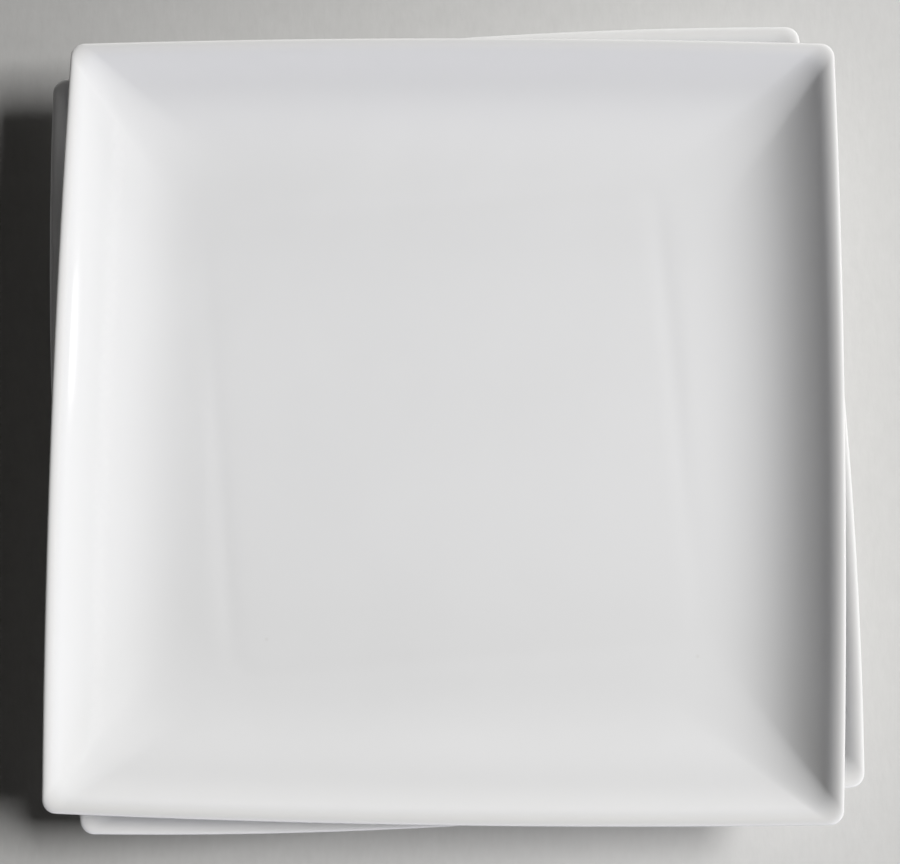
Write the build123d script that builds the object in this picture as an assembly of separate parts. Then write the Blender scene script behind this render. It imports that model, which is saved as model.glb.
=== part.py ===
"""Two square porcelain dinner plates, the upper one resting in the lower one, which lies turned.

Each plate is one pressed biscuit body and the glaze that is fired onto it everywhere but on the
tread of its foot, which parts the glaze into an outer coat and a base coat. Sizes are millimetres
and degrees. +Z is up, the upper plate's sides run along X and Y, and the origin is the middle of
the lower plate's foot, on the table.
"""
from build123d import *
import os
from math import atan, atan2, cos, hypot, radians, sin, sqrt, tan

# Outline seen from above, over the glaze
upper_width = 260.0      # across the middle of two opposite sides of the upper plate
kiln_spread = 4.5        # the lower plate shrank this much less in the kiln
lower_width = upper_width + kiln_spread
upper_bow = 2.0          # how far the middle of a side stands out past its corners
kiln_bow = 2.8           # the lower plate's sides came out this much more bowed
lower_bow = upper_bow + kiln_bow
rim_corner = 4.7         # outside corner of the rim
valley_growth = 0.35     # growth of the corner radius for each millimetre in from the rim

# Cross-section, over the glaze
foot_height = 7.4        # table to the underside of the floor
floor_thickness = 5.2
well_depth = 15.5        # floor to the top of the rim
wall_lean = 43.5         # slope of the coved wall where the rim begins
rim_thickness = 4.2      # thickness of the wall there
rim_nose = 4.8           # length over which the rim runs out to its edge, as half an ellipse

# Foot ring under the floor
foot_tread = 4.2         # width at the table
foot_draft = 10.0        # slope of its two sides from upright
foot_fillet = 1.5        # hollow between the foot and the underside
foot_land = 1.8          # flat strip between that hollow and the start of the wall
tread_round = 0.5        # edges of the tread

# Glaze
glaze_thickness = 0.4
bare_height = 1.3        # the glaze is wiped off below this height of the foot

# How the two plates lie
lower_turn = 4.3         # the lower plate, anticlockwise seen from above
upper_shift = 1.5        # the upper plate, off the middle of the lower one towards the front

# Sections along each strip of the surface
wall_steps = (0.0, 0.2, 0.4, 0.6, 0.8, 0.9, 1.0)
lip_turns = (0.0, 22.5, 45.0, 67.5, 90.0)
fillet_shares = (0.0, 0.5, 1.0)


def outline(section):
    """Closed bowed square with rounded corners: half width, corner radius, bow and height."""
    half_width, corner, bow, height = section
    side_radius = ((half_width - bow) ** 2 + bow**2) / (2 * bow)
    side_centre = half_width - side_radius
    # The corner arc's centre lies on the diagonal and touches the side arc from inside.
    reach = side_radius - corner
    corner_centre = (side_centre + sqrt(2 * reach**2 - side_centre**2)) / 2
    lean = atan(corner_centre / (corner_centre - side_centre))
    touch_x = side_centre + side_radius * cos(lean)
    touch_y = side_radius * sin(lean)
    tip = corner_centre + corner * sqrt(0.5)
    side = Edge.make_three_point_arc(
        (touch_x, -touch_y, height), (half_width, 0, height), (touch_x, touch_y, height)
    )
    corner_arc = Edge.make_three_point_arc(
        (touch_x, touch_y, height), (tip, tip, height), (touch_y, touch_x, height)
    )
    edges = []
    for quarter in range(4):
        edges.append(side.rotate(Axis.Z, 90 * quarter))
        edges.append(corner_arc.rotate(Axis.Z, 90 * quarter))
    return Wire(edges)


def strip(sections):
    """Faces through a row of outlines, straight between two and smooth through more."""
    return Shell.make_loft([outline(section) for section in sections], len(sections) == 2).faces()


def flat(section, hole=None):
    """Flat face inside an outline, less the one inside another."""
    holes = [] if hole is None else [outline(hole)]
    return [Face(outline(section), holes)]


def closed(faces):
    """Solid from the faces of its surface."""
    return Solid(Shell(faces))


class Plate:
    """The surfaces of one plate, at any depth below the face of its glaze."""

    def __init__(self, width, bow):
        self.edge = width / 2
        self.bow = bow
        lean = radians(wall_lean)
        half = rim_thickness / 2
        # The rim's half ellipse lies along the wall, so its edge and its top are off its axis.
        self.rim_middle = self.edge - hypot(rim_nose * cos(lean), half * sin(lean))
        floor_height = foot_height + floor_thickness
        self.rim_level = floor_height + well_depth - hypot(rim_nose * sin(lean), half * cos(lean))
        self.cove_level = foot_height + floor_thickness / 2
        self.rise = self.rim_level - self.cove_level
        self.wall_run = 3 * self.rise / tan(lean)
        self.cove_start = self.rim_middle - self.wall_run
        draft = radians(foot_draft)
        spread = (foot_height - foot_fillet) * tan(draft) + foot_fillet / cos(draft)
        self.tread_outside = self.cove_start - foot_land - spread
        self.tread_inside = self.tread_outside - foot_tread

    def corner(self, half_width):
        """Corner radius, which grows from the edge of the rim inwards."""
        return rim_corner + valley_growth * (self.edge - half_width)

    def level(self, half_width, height):
        """Outline on the wall or the rim."""
        return (half_width, self.corner(half_width), self.bow * half_width / self.edge, height)

    def ring(self, half_width, height):
        """Outline that runs beside the start of the wall, as the foot does."""
        corner = self.corner(self.cove_start) + half_width - self.cove_start
        return (half_width, corner, self.bow * half_width / self.edge, height)

    def wall(self, step, side, depth):
        """Outline on the coved wall, whose middle climbs from the floor to the rim as a cube."""
        slope = tan(radians(wall_lean)) * step**2
        length = hypot(1, slope)
        thickness = floor_thickness + (rim_thickness - floor_thickness) * step
        out = side * (thickness / 2 - depth)
        middle = self.cove_start + self.wall_run * step
        height = self.cove_level + self.rise * step**3
        return self.level(middle - out * slope / length, height + out / length)

    def lip(self, turn, depth):
        """Outline on the rim's half ellipse, turned from its edge up (+) or down (-)."""
        lean = radians(wall_lean)
        angle = radians(turn)
        half = rim_thickness / 2
        facing = atan2(rim_nose * sin(angle), half * cos(angle))
        along = rim_nose * cos(angle) - depth * cos(facing)
        across = half * sin(angle) - depth * sin(facing)
        return self.level(
            self.rim_middle + along * cos(lean) - across * sin(lean),
            self.rim_level + along * sin(lean) + across * cos(lean),
        )

    def foot_side(self, side, height, depth):
        """Half width of the foot's outer side (1) or inner side (-1) at a height."""
        draft = radians(foot_draft)
        tread = self.tread_outside if side > 0 else self.tread_inside
        return tread + side * (height * tan(draft) - depth / cos(draft))

    def foot_hollow(self, side, share, depth):
        """Outline in the hollow between the foot and the underside, from the foot up."""
        draft = radians(foot_draft)
        radius = foot_fillet + depth
        level = foot_height - foot_fillet
        centre = self.foot_side(side, level, depth) + side * radius / cos(draft)
        angle = draft + share * (radians(90) - draft)
        return self.ring(centre - side * radius * cos(angle), level + radius * sin(angle))

    def tread_edge(self, side, share, depth):
        """Outline on the rounded edge of the tread, from the foot's side down to the table."""
        draft = radians(foot_draft)
        centre = self.foot_side(side, tread_round, depth) - side * tread_round / cos(draft)
        angle = draft + share * (radians(90) - draft)
        return self.ring(centre + side * tread_round * cos(angle), tread_round * (1 - sin(angle)))

    def foot_face(self, side, depth):
        """Faces of one side of the foot that carry glaze, from where it is wiped off."""
        hollow = [self.foot_hollow(side, share, depth) for share in fillet_shares]
        wiped = self.ring(self.foot_side(side, bare_height, depth), bare_height)
        return strip([wiped, hollow[0]]) + strip(hollow)

    def outside(self, depth):
        """Faces from the foot's outer side round the rim to the floor, below the glaze's face."""
        under = [self.wall(step, -1, depth) for step in wall_steps]
        over = [self.wall(step, 1, depth) for step in reversed(wall_steps)]
        lip_under = [self.lip(-turn, depth) for turn in reversed(lip_turns)]
        lip_over = [self.lip(turn, depth) for turn in lip_turns]
        land = flat(under[0], self.foot_hollow(1, 1, depth))
        below = self.foot_face(1, depth) + land + strip(under)
        return below + strip(lip_under) + strip(lip_over) + strip(over) + flat(over[-1])

    def recess(self, depth):
        """Faces inside the foot ring, below the glaze's face."""
        return self.foot_face(-1, depth) + flat(self.foot_hollow(-1, 1, depth))

    def tread(self, depth):
        """The wiped end of the foot."""
        faces = []
        ends = []
        for side in (1, -1):
            edge = [self.tread_edge(side, share, depth) for share in fillet_shares]
            wiped = self.ring(self.foot_side(side, bare_height, depth), bare_height)
            faces += strip([wiped, edge[0]]) + strip(edge)
            ends.append(edge[-1])
        return faces + flat(ends[0], ends[1])

    def wiped_edge(self, side):
        """The narrow edge where the glaze stops on one side of the foot."""
        depths = (0, glaze_thickness) if side > 0 else (glaze_thickness, 0)
        rings = [self.ring(self.foot_side(side, bare_height, depth), bare_height) for depth in depths]
        return flat(rings[0], rings[1])

    def body(self):
        """Biscuit under the glaze, with the bare tread."""
        depth = glaze_thickness
        return closed(self.outside(depth) + self.tread(depth) + self.recess(depth))

    def glaze(self):
        """Coat over the floor, the wall, the rim and the outside, down to the bare tread."""
        return closed(self.outside(0) + self.outside(glaze_thickness) + self.wiped_edge(1))

    def base_glaze(self):
        """Coat inside the foot ring, cut off from the rest by the bare tread."""
        return closed(self.recess(0) + self.recess(glaze_thickness) + self.wiped_edge(-1))


# The upper plate's tread stands flat on the lower plate's floor.
lower = Plate(lower_width, lower_bow)
upper = Plate(upper_width, upper_bow)
turned = Rot(0, 0, lower_turn)
seated = Pos(0, -upper_shift, foot_height + floor_thickness)
nodes = {
    "lower_plate_body": turned * lower.body(),
    "lower_plate_glaze": turned * lower.glaze(),
    "lower_plate_base_glaze": turned * lower.base_glaze(),
    "upper_plate_body": seated * upper.body(),
    "upper_plate_glaze": seated * upper.glaze(),
    "upper_plate_base_glaze": seated * upper.base_glaze(),
}

os.makedirs("parts", exist_ok=True)
for name, shape in nodes.items():
    export_step(shape, f"parts/{name}.step")
    size = shape.bounding_box().size
    print(name, shape.is_valid, round(shape.volume), size.X, size.Y, size.Z)
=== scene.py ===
"""Two square porcelain dinner plates, the upper one resting in the lower one, which lies turned.

Each plate is one pressed biscuit body under a coat of white glaze, which the bare tread of the foot
parts into an outer coat and a base coat. Metres, with the table at height 0, +Z up and the upper
plate's sides along X and Y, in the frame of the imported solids.
"""
import math

import bpy
import numpy as np
from mathutils import Matrix, Vector


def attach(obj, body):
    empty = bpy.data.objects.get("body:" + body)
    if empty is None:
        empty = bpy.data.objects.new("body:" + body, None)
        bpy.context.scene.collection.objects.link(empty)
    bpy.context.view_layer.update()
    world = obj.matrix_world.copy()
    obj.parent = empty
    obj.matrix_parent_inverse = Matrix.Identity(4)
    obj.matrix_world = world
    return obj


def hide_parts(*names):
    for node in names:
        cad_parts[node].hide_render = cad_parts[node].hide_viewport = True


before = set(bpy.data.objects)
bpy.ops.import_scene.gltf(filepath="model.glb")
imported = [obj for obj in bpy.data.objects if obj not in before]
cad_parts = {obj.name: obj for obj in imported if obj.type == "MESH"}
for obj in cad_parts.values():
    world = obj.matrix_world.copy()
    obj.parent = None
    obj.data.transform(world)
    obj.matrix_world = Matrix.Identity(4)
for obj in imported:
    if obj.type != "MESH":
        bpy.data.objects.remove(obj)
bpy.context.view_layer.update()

# Biscuit bodies
# Each plate is pressed from one piece of white porcelain clay: a flat floor, a wall that coves up
# to a rounded rim, and a square foot ring. Fired hard, it shows only on the tread of the foot.
MM = 0.001
upper_width = 260 * MM
kiln_spread = 4.5 * MM
lower_width = upper_width + kiln_spread
upper_bow = 2 * MM
kiln_bow = 2.8 * MM
lower_bow = upper_bow + kiln_bow
rim_corner = 4.7 * MM
valley_growth = 0.35
foot_height = 7.4 * MM
floor_thickness = 5.2 * MM
well_depth = 15.5 * MM
wall_lean = math.radians(43.5)
rim_thickness = 4.2 * MM
rim_nose = 4.8 * MM
foot_tread = 4.2 * MM
foot_lean = math.radians(10)
foot_fillet = 1.5 * MM
foot_land = 1.8 * MM
tread_round = 0.5 * MM
glaze_thickness = 0.4 * MM
bare_height = 1.3 * MM
lower_turn = math.radians(4.3)
upper_shift = 1.5 * MM
floor_height = foot_height + floor_thickness

biscuit_cream = (0.80, 0.77, 0.71, 1)
biscuit_grey = (0.60, 0.58, 0.55, 1)
biscuit_roughness = 0.68
biscuit_relief = 0.03 * MM
sand_scale = 900
cloud_scale = 45
cloud_share = 0.35
rub_scale = 140
rub_share = 0.55
rub_height = 0.5 * MM

# Points along an outline, and the rows of outlines over each strip of the surface
side_points = 30
corner_points = 14
floor_shares = np.concatenate([np.linspace(0.06, 0.80, 12), np.linspace(0.805, 0.995, 32)])
cove_steps = np.linspace(0, 1, 57)
lip_facings = np.linspace(math.pi / 2, -math.pi / 2, 29)[1:-1]
hollow_angles = np.linspace(math.pi / 2, foot_lean, 7)
tread_angles = np.linspace(foot_lean, math.pi / 2, 6)
recess_shares = np.linspace(0.06, 0.97, 12)

# All pieces of the two plates, for the lamps that light nothing else
stack = bpy.data.collections.new("stack")


def outline(half_width, corner, bow, height):
    """Points round a bowed square with rounded corners."""
    side_radius = ((half_width - bow) ** 2 + bow**2) / (2 * bow)
    side_centre = half_width - side_radius
    reach = side_radius - corner
    corner_centre = (side_centre + math.sqrt(2 * reach**2 - side_centre**2)) / 2
    lean = math.atan(corner_centre / (corner_centre - side_centre))
    along = np.linspace(-lean, lean, side_points + 1)[:-1]
    side = np.column_stack([side_centre + side_radius * np.cos(along), side_radius * np.sin(along)])
    turn = np.linspace(lean, math.pi / 2 - lean, corner_points + 1)[:-1]
    rounded = corner_centre + corner * np.column_stack([np.cos(turn), np.sin(turn)])
    quarter = np.vstack([side, rounded])
    points = []
    for _ in range(4):
        points.append(quarter)
        quarter = np.column_stack([-quarter[:, 1], quarter[:, 0]])
    flat = np.vstack(points)
    return np.column_stack([flat, np.full(len(flat), height)])


class Plate:
    """The surfaces of one plate as rows of outlines, at any depth below the face of its glaze."""

    def __init__(self, width, bow):
        self.edge = width / 2
        self.bow = bow
        # The rim's half ellipse lies along the wall, so its edge and its top are off its axis.
        half = rim_thickness / 2
        out = math.hypot(rim_nose * math.cos(wall_lean), half * math.sin(wall_lean))
        up = math.hypot(rim_nose * math.sin(wall_lean), half * math.cos(wall_lean))
        self.rim_middle = self.edge - out
        self.rim_level = floor_height + well_depth - up
        self.cove_level = foot_height + floor_thickness / 2
        self.rise = self.rim_level - self.cove_level
        self.wall_run = 3 * self.rise / math.tan(wall_lean)
        self.cove_start = self.rim_middle - self.wall_run
        self.cove_corner = self.corner(self.cove_start)
        drop = (foot_height - foot_fillet) * math.tan(foot_lean) + foot_fillet / math.cos(foot_lean)
        self.tread_outside = self.cove_start - foot_land - drop
        self.tread_inside = self.tread_outside - foot_tread

    def corner(self, half_width):
        """Corner radius, which grows from the edge of the rim inwards."""
        return rim_corner + valley_growth * (self.edge - half_width)

    def level(self, half_width, height):
        """Outline on the wall or the rim."""
        return outline(half_width, self.corner(half_width), self.bow * half_width / self.edge, height)

    def wall(self, step, side, depth):
        """Outline on the coved wall, whose middle climbs from the floor to the rim as a cube."""
        slope = math.tan(wall_lean) * step**2
        length = math.hypot(1, slope)
        thickness = floor_thickness + (rim_thickness - floor_thickness) * step
        out = side * (thickness / 2 - depth)
        middle = self.cove_start + self.wall_run * step
        height = self.cove_level + self.rise * step**3
        return self.level(middle - out * slope / length, height + out / length)

    def lip(self, facing, depth):
        """Outline on the rim's half ellipse, by the way it faces, up from the wall's direction."""
        half = rim_thickness / 2
        angle = math.atan2(half * math.sin(facing), rim_nose * math.cos(facing))
        along = rim_nose * math.cos(angle) - depth * math.cos(facing)
        across = half * math.sin(angle) - depth * math.sin(facing)
        return self.level(
            self.rim_middle + along * math.cos(wall_lean) - across * math.sin(wall_lean),
            self.rim_level + along * math.sin(wall_lean) + across * math.cos(wall_lean),
        )

    def ring(self, half_width, height):
        """Outline that runs beside the start of the wall, as the foot does."""
        corner = self.cove_corner + half_width - self.cove_start
        return outline(half_width, corner, self.bow * half_width / self.edge, height)

    def foot_side(self, side, height, depth):
        """Half width of the foot's outer side (1) or inner side (-1) at a height."""
        tread = self.tread_outside if side > 0 else self.tread_inside
        return tread + side * (height * math.tan(foot_lean) - depth / math.cos(foot_lean))

    def wiped(self, side, depth):
        """Outline where the glaze stops on the foot's outer side (1) or inner side (-1)."""
        return self.ring(self.foot_side(side, bare_height, depth), bare_height)

    def floor_rows(self, depth):
        """The flat floor from its middle outwards, with close rows over the foot."""
        edge = self.ring(self.cove_start, floor_height - depth)
        return [edge * (share, share, 1) for share in floor_shares]

    def cove_rows(self, side, depth):
        """The coved wall from the floor outwards, on its upper (1) or lower (-1) face."""
        return [self.wall(step, side, depth) for step in cove_steps]

    def lip_rows(self, depth):
        """The rim, from its upper face over the edge to its lower face."""
        return [self.lip(facing, depth) for facing in lip_facings]

    def hollow_rows(self, side, depth):
        """The hollow between the foot and the underside, from the underside down to the foot."""
        radius = foot_fillet + depth
        level = foot_height - foot_fillet
        centre = self.foot_side(side, level, depth) + side * radius / math.cos(foot_lean)
        rows = []
        for angle in hollow_angles:
            half_width = centre - side * radius * math.cos(angle)
            rows.append(self.ring(half_width, level + radius * math.sin(angle)))
        return rows

    def tread_rows(self, side, depth):
        """One side of the bare end of the foot, from where the glaze stops down to the table."""
        centre = self.foot_side(side, tread_round, depth) - side * tread_round / math.cos(foot_lean)
        rows = [self.wiped(side, depth)]
        for angle in tread_angles:
            half_width = centre + side * tread_round * math.cos(angle)
            rows.append(self.ring(half_width, tread_round * (1 - math.sin(angle))))
        return rows

    def outside_rows(self, depth):
        """From the middle of the floor over the rim and back under the wall to the foot."""
        under = self.cove_rows(-1, depth)[::-1]
        return (
            self.floor_rows(depth) + self.cove_rows(1, depth) + self.lip_rows(depth) + under
            + self.hollow_rows(1, depth)
        )

    def recess_rows(self, depth):
        """From the middle of the underside out to the inner side of the foot."""
        hollow = self.hollow_rows(-1, depth)
        return [hollow[0] * (share, share, 1) for share in recess_shares] + hollow


def closed_mesh(name, rows, material, turn, place):
    """Smooth closed mesh through rows of outlines, with a fan of faces to a point at each end."""
    count = len(rows[0])
    first = [[0, 0, rows[0][0][2]]]
    last = [[0, 0, rows[-1][0][2]]]
    points = np.vstack([first] + rows + [last]) @ np.array(Matrix.Rotation(-turn, 3, "Z"))
    steps = [(here, (here + 1) % count) for here in range(count)]
    faces = [(0, 1 + a, 1 + b) for a, b in steps]
    for row in range(len(rows) - 1):
        near = 1 + row * count
        far = near + count
        faces += [(near + a, far + a, far + b, near + b) for a, b in steps]
    end = len(points) - 1
    near = end - count
    faces += [(end, near + b, near + a) for a, b in steps]
    mesh = bpy.data.meshes.new(name)
    mesh.from_pydata(points.tolist(), [], faces)
    mesh.shade_smooth()
    mesh.materials.append(material)
    piece = bpy.data.objects.new(name, mesh)
    piece.location = place
    bpy.context.scene.collection.objects.link(piece)
    stack.objects.link(piece)
    return piece


class Wire:
    """An output of a shader node. Arithmetic on it adds Math nodes."""

    def __init__(self, tree, socket=None):
        self.tree = tree
        self.socket = socket

    def node(self, kind, settings=None, values=None, output=0):
        """Any node: its settings are set first, then the values or links of its sockets."""
        made = self.tree.nodes.new(kind)
        for name, value in (settings or {}).items():
            setattr(made, name, value)
        for name, value in (values or {}).items():
            if isinstance(value, Wire):
                self.tree.links.new(value.socket, made.inputs[name])
            else:
                made.inputs[name].default_value = value
        return Wire(self.tree, made.outputs[output])

    def math(self, operation, *values):
        """Math node on wires or numbers."""
        return self.node("ShaderNodeMath", {"operation": operation}, dict(enumerate(values)))

    def __add__(self, other):
        return self.math("ADD", self, other)

    def __radd__(self, other):
        return self.math("ADD", other, self)

    def __rsub__(self, other):
        return self.math("SUBTRACT", other, self)

    def __mul__(self, other):
        return self.math("MULTIPLY", self, other)

    def __rmul__(self, other):
        return self.math("MULTIPLY", other, self)

    def fade(self, start, end):
        """0 before start, 1 after end and smooth between them."""
        ends = {"From Min": start, "From Max": end}
        return self.node(
            "ShaderNodeMapRange", {"interpolation_type": "SMOOTHSTEP"}, {"Value": self, **ends}
        )

    def noise(self, place, scale, detail, roughness=0.5):
        """Cloudy values about a half, at so many clouds to the metre."""
        sockets = {"Vector": place, "Scale": scale, "Detail": detail, "Roughness": roughness}
        return self.node("ShaderNodeTexNoise", None, sockets)

    def bump(self, height, distance, strength):
        """Normal of a surface that stands out by a height of 0 to 1 times a distance."""
        sockets = {"Strength": strength, "Distance": distance, "Height": height}
        return self.node("ShaderNodeBump", None, sockets)

    def mix(self, share, first, second):
        """Colour between two colours, by a share."""
        sockets = {0: share, 6: first, 7: second}
        return self.node("ShaderNodeMix", {"data_type": "RGBA"}, sockets, 2)


def finish_of(name, **shader_values):
    """New material, a wire to add its nodes from, the place on the piece and its shader."""
    material = bpy.data.materials.new(name)
    material.use_nodes = True
    tree = material.node_tree
    shader = tree.nodes["Principled BSDF"]
    for socket, value in shader_values.items():
        shader.inputs[socket.replace("_", " ")].default_value = value
    start = Wire(tree)
    place = start.node("ShaderNodeTexCoord", output="Object")
    return material, start, place, shader


def feed(shader, **wires):
    """Links wires to a shader's inputs."""
    for socket, wire in wires.items():
        wire.tree.links.new(wire.socket, shader.inputs[socket.replace("_", " ")])


def biscuit_finish():
    """Unglazed porcelain: matt warm white, a fine sandy grain and grey rubs from the table."""
    material, start, place, shader = finish_of("bare_biscuit", IOR=1.45)
    grain = start.noise(place, sand_scale, 3)
    clouds = start.noise(place, cloud_scale, 4, 0.6)
    rubs = start.noise(place, rub_scale, 5, 0.65).fade(0.5, 0.72)
    height = start.node("ShaderNodeSeparateXYZ", None, {0: place}, 2)
    tread = 1 - height.fade(0.2 * rub_height, rub_height)
    shade = cloud_share * clouds + rub_share * rubs * tread
    feed(
        shader,
        Base_Color=start.mix(shade, biscuit_cream, biscuit_grey),
        Roughness=biscuit_roughness + 0.2 * grain,
        Normal=start.bump(grain, biscuit_relief, 0.6),
    )
    return material


biscuit = biscuit_finish()
plates = (
    ("lower_plate", Plate(lower_width, lower_bow), lower_turn, (0, 0, 0)),
    ("upper_plate", Plate(upper_width, upper_bow), 0, (0, -upper_shift, floor_height)),
)

for body, form, turn, place in plates:
    tread = form.tread_rows(1, glaze_thickness) + form.tread_rows(-1, glaze_thickness)[::-1]
    recess = form.recess_rows(glaze_thickness)[::-1]
    rows = form.outside_rows(glaze_thickness) + tread + recess
    piece = closed_mesh(f"{body}_biscuit", rows, biscuit, turn, place)
    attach(piece, body)
    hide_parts(f"{body}_body")

# Outer glaze coats
# A bright white glaze is fired onto the biscuit over the floor, the wall, the rim and the
# underside, down to a line above the foot where it is wiped off so that the plate can't stick.
# The walls' white is set below the floor's white: partly pooled glaze, partly painted light that
# brightens the floor against the walls.
glaze_white = (0.755, 0.755, 0.755, 1)
glaze_pool_and_lit_floor = (0.848, 0.848, 0.849, 1)
glaze_thin = (0.770, 0.760, 0.742, 1)
glaze_speck = (0.36, 0.31, 0.26, 1)
glaze_roughness = 0.07
# Height band where the floor's glaze is painted whiter, from a little under the floor to some way up
# the wall.
floor_white_start = floor_height - 2 * MM
floor_white_full = floor_height - 0.5 * MM
floor_white_reach = 8 * MM
thin_reach = 1.4 * MM
glaze_cloud_scale = 16
peel_scale = 130
peel_millimetres = 0.006
wave_scale = 30
wave_millimetres = 0.14
scuff_scale = 420
speck_scale = 62
speck_edge = (0.006, 0.02)
speck_chance = (0.93, 0.96)
sink_half = 77 * MM
sink_corner = 9 * MM
sink_width = 3.5 * MM
sink_depth = 0.18 * MM
sink_fade = 0.7
sink_skew = 0.3
sink_turn = math.radians(5.5)
kiln_specks = ((83.2 * MM, -75 * MM, floor_height), (-58.7 * MM, -71 * MM, floor_height))
kiln_speck_edge = (0.2 * MM, 0.9 * MM)
kiln_speck_share = 0.15


def sunk(points):
    """Points let down along a faint square line in the floor, where the clay shrank over the foot."""
    turned_x = points[:, 0] * math.cos(sink_turn) + points[:, 1] * math.sin(sink_turn)
    turned_y = points[:, 1] * math.cos(sink_turn) - points[:, 0] * math.sin(sink_turn)
    past_x = np.abs(turned_x) - (sink_half - sink_corner)
    past_y = np.abs(turned_y) - (sink_half - sink_corner)
    outside = np.hypot(np.maximum(past_x, 0), np.maximum(past_y, 0))
    inside = np.minimum(np.maximum(past_x, past_y), 0)
    away = outside + inside - sink_corner
    # It fades towards the corners and is deeper in two of the quarters.
    share_x = turned_x / sink_half
    share_y = turned_y / sink_half
    faded = 1 - sink_fade * np.minimum(np.abs(share_x), np.abs(share_y)) ** 4
    uneven = 1 - sink_skew * (1 - share_x * share_y)
    depth = sink_depth * np.clip(faded, 0, 1) * np.clip(uneven, 0, 1)
    lowered = points.copy()
    lowered[:, 2] -= depth * np.exp(-((away / sink_width) ** 2))
    return lowered


def glaze_finish():
    """White glaze: glossy, floor whiter by pooling and painted light, warmer where thin, tiny specks.
    """
    material, start, place, shader = finish_of("white_glaze", IOR=1.5)
    height = start.node("ShaderNodeSeparateXYZ", None, {0: place}, 2)
    clouds = start.noise(place, glaze_cloud_scale, 3, 0.55)
    # Painted light in part: the floor is whiter than the walls, partly pooled glaze, partly painted
    # light that brightens it.
    above = height.fade(floor_white_start, floor_white_full)
    pool_and_lit_floor = above * (1 - height.fade(floor_height, floor_height + floor_white_reach))
    rim_top = floor_height + well_depth
    thin = height.fade(rim_top - thin_reach, rim_top) * (0.4 + 0.6 * clouds)
    cells = {"Vector": place, "Scale": speck_scale}
    away = start.node("ShaderNodeTexVoronoi", None, cells)
    pick = start.node("ShaderNodeTexVoronoi", None, cells, 1)
    chance = start.node("ShaderNodeSeparateColor", None, {0: pick})
    speck = (1 - away.fade(*speck_edge)) * chance.fade(*speck_chance)
    for spot in kiln_specks:
        apart = start.node("ShaderNodeVectorMath", {"operation": "DISTANCE"}, {0: place, 1: spot}, 1)
        speck = speck + kiln_speck_share * (1 - apart.fade(*kiln_speck_edge))
    white = start.mix(pool_and_lit_floor * (0.7 + 0.5 * clouds), glaze_white, glaze_pool_and_lit_floor)
    edge = start.mix(0.8 * thin, white, glaze_thin)
    orange_peel = start.noise(place, peel_scale, 2)
    waves = start.noise(place, wave_scale, 1)
    relief = peel_millimetres * orange_peel + wave_millimetres * waves
    scuffs = start.noise(place, scuff_scale, 6, 0.7).fade(0.55, 0.8)
    feed(
        shader,
        Base_Color=start.mix(0.6 * speck, edge, glaze_speck),
        Roughness=glaze_roughness + 0.05 * clouds + 0.06 * scuffs,
        Normal=start.bump(relief, MM, 1.0),
    )
    return material


glaze = glaze_finish()

for body, form, turn, place in plates:
    face = form.outside_rows(0)
    inside = len(floor_shares) + len(cove_steps)
    face[:inside] = [sunk(row) for row in face[:inside]]
    edge = [form.wiped(1, 0), form.wiped(1, glaze_thickness)]
    back = form.outside_rows(glaze_thickness)[::-1]
    piece = closed_mesh(f"{body}_outer_coat", face + edge + back, glaze, turn, place)
    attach(piece, body)
    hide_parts(f"{body}_glaze")

# Base glaze coats
# The same glaze inside the foot ring, cut off from the outer coat by the bare tread.
for body, form, turn, place in plates:
    back = form.recess_rows(glaze_thickness)
    edge = [form.wiped(-1, glaze_thickness), form.wiped(-1, 0)]
    face = form.recess_rows(0)[::-1]
    piece = closed_mesh(f"{body}_base_coat", back + edge + face, glaze, turn, place)
    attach(piece, body)
    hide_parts(f"{body}_base_glaze")

# Table
# A plain grey table top with a faint grain, wide enough to fill the view.
# Painted light makes it paler to the right, for light that falls off towards the left.
table_size = 8.0
table_grey = (0.415, 0.411, 0.400, 1)
table_light = (0.79, 0.785, 0.77, 1)
table_roughness = 0.6
table_relief = 0.12 * MM
# Painted light: the table grows paler to the right over this reach, by this share of its mix from
# grey to pale.
painted_falloff_reach = 0.22
painted_falloff_share = 0.73
fibre_scale = 420
fibre_stretch = (1.0, 0.35, 1.0)
fibre_share = 0.15
mottle_scale = 130
mottle_share = 0.12


def table_finish():
    """Pale matt table, a fine mottled grain running a little along Y, painted light paling it to the
    right.
    """
    material, start, place, shader = finish_of("pale_table", IOR=1.4)
    stretched = start.node("ShaderNodeMapping", None, {0: place, "Scale": fibre_stretch})
    grain = start.noise(stretched, fibre_scale, 3, 0.6)
    mottle = start.noise(place, mottle_scale, 4, 0.6)
    across = start.node("ShaderNodeSeparateXYZ", None, {0: place})
    # Painted light, paler to the right.
    painted_falloff = across.fade(-painted_falloff_reach, painted_falloff_reach)
    tone = fibre_share * grain + mottle_share * mottle + painted_falloff_share * painted_falloff
    feed(
        shader,
        Base_Color=start.mix(tone, table_grey, table_light),
        Roughness=table_roughness + 0.15 * grain,
        Normal=start.bump(grain, table_relief, 0.5),
    )
    return material


half_table = table_size / 2
table_mesh = bpy.data.meshes.new("table")
signs = ((-1, -1), (1, -1), (1, 1), (-1, 1))
table_corners = [(x * half_table, y * half_table, 0) for x, y in signs]
table_mesh.from_pydata(table_corners, [], [(0, 1, 2, 3)])
table_mesh.materials.append(table_finish())
table = bpy.data.objects.new("table", table_mesh)
bpy.context.scene.collection.objects.link(table)

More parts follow.
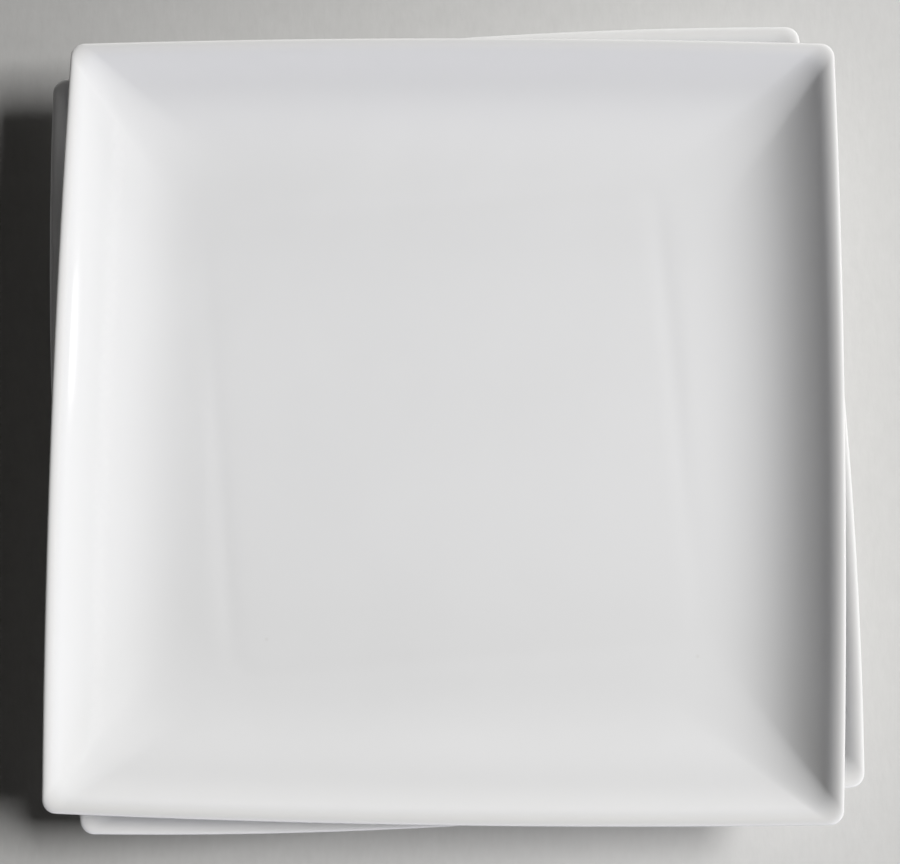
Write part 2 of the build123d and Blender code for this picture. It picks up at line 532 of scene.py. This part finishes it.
# Light
# A broad soft lamp high on the right, weak low ones behind and in front for the plates alone, a small
# one for the glint in the left wall, and a dim room, whose front and back walls show in the gloss.
key_azimuth = math.radians(7)
key_elevation = math.radians(46.5)
key_distance = 5.0
key_size = (2.1, 1.05)
key_power = 270.0
fill_elevation = math.radians(8)
fill_distance = 2.0
fill_size = (1.6, 0.4)
back_azimuth = math.radians(82)
back_power = 14.5
front_azimuth = math.radians(-82)
front_power = 16.5
front_colour = (0.87, 0.88, 1.0)
glint_azimuth = math.radians(12.6)
glint_elevation = math.radians(21.3)
glint_distance = 1.2
glint_size = (0.115, 0.12)
glint_power = 0.2
room_colour = (1.0, 0.97, 0.94, 1)
room_level = 0.018
backdrop_level = 0.7
mirror_level = 0.2
horizon_level = 1.5
horizon_top = 0.75


def lamp(name, shape, azimuth, elevation, distance, size, power):
    """Flat lamp that faces the plates from a direction and doesn't show itself."""
    data = bpy.data.lights.new(name, "AREA")
    data.shape = shape
    data.size, data.size_y = size
    data.energy = power
    made = bpy.data.objects.new(name, data)
    level = math.cos(elevation)
    away = Vector((level * math.cos(azimuth), level * math.sin(azimuth), math.sin(elevation)))
    made.location = distance * away
    made.rotation_euler = away.to_track_quat("Z", "Y").to_euler()
    made.visible_camera = False
    bpy.context.scene.collection.objects.link(made)
    return made


fill = (fill_elevation, fill_distance, fill_size)
key = lamp("key", "RECTANGLE", key_azimuth, key_elevation, key_distance, key_size, key_power)
back = lamp("back", "RECTANGLE", back_azimuth, *fill, back_power)
front = lamp("front", "RECTANGLE", front_azimuth, *fill, front_power)
front.data.color = front_colour
for low in (back, front):
    low.light_linking.receiver_collection = stack
for broad in (key, back, front):
    broad.visible_glossy = False
lamp("glint", "ELLIPSE", glint_azimuth, glint_elevation, glint_distance, glint_size, glint_power)

world = bpy.data.worlds.new("room")
bpy.context.scene.world = world
world.use_nodes = True
room = Wire(world.node_tree)
seen = room.node("ShaderNodeLightPath", output="Is Camera Ray")
mirrored = room.node("ShaderNodeLightPath", output="Is Glossy Ray")
direction = room.node("ShaderNodeTexCoord", output="Generated")
backward = room.node("ShaderNodeSeparateXYZ", None, {0: direction}, 1)
upward = room.node("ShaderNodeSeparateXYZ", None, {0: direction}, 2)
horizon = backward * backward * (1 - upward.fade(0.0, horizon_top))
strength = room_level + backdrop_level * seen + (mirror_level + horizon_level * horizon) * mirrored
background = world.node_tree.nodes["Background"]
background.inputs["Color"].default_value = room_colour
feed(background, Strength=strength)

# Camera
# It looks down from a little in front of the plates, rolled so that the sides run up the picture.
camera_place = Vector((29.0, -98.7, 716.91)) * MM
camera_swing = math.radians(16.24)
camera_tilt = math.radians(8.208)
camera_roll = math.radians(-15.665)
sensor_width = 36.0
focal_length = 83.71
nearest_view = 10 * MM

camera_data = bpy.data.cameras.new("camera")
camera_data.sensor_fit = "HORIZONTAL"
camera_data.sensor_width = sensor_width
camera_data.lens = focal_length
camera_data.clip_start = nearest_view
camera = bpy.data.objects.new("camera", camera_data)
aim = Matrix.Rotation(camera_swing, 4, "Z") @ Matrix.Rotation(camera_tilt, 4, "X")
camera.matrix_world = Matrix.Translation(camera_place) @ aim @ Matrix.Rotation(camera_roll, 4, "Z")
bpy.context.scene.collection.objects.link(camera)
bpy.context.scene.camera = camera
bpy.context.scene.view_settings.view_transform = "Standard"
